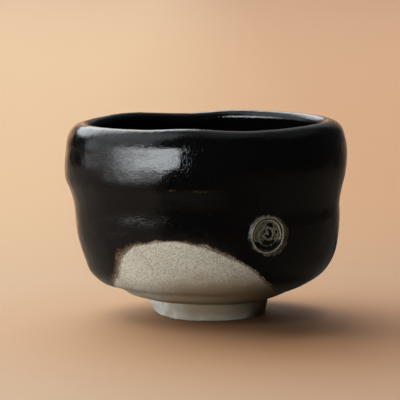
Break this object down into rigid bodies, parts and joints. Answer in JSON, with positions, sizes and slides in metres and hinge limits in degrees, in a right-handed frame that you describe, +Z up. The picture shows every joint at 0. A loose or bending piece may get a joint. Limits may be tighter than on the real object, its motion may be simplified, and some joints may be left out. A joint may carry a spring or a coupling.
{
  "type": "tea bowl",
  "caption": "Hand-formed ceramic tea bowl: straight, waisted wall with a thick rolled lip, black glaze over bare clay, and a low ring foot.",
  "frame": {"origin": "centre of the bowl's outline, on the plane that its foot stands on", "axes": "+Z up, out of the mouth; +X to the right and +Y to the back when the bare window in the glaze faces the viewer"},
  "size_m": [0.1198, 0.1186, 0.0832],
  "materials": {
    "bare_clay": "unglazed, sandy and matt, pale grey-buff",
    "foot_clay": "unglazed, chalky and matt, pale grey",
    "stamped_clay": "unglazed, stained grey-brown, semi-matt",
    "black_glaze": "glossy black with a faint orange-peel surface, brown where it thins"
  },
  "bodies": {
    "root": {"clay_body": "bare_clay", "foot_ring": "foot_clay", "outer_glaze": "black_glaze", "inner_glaze": "black_glaze", "seal_medallion": "stamped_clay"}
  },
  "joints": []
}
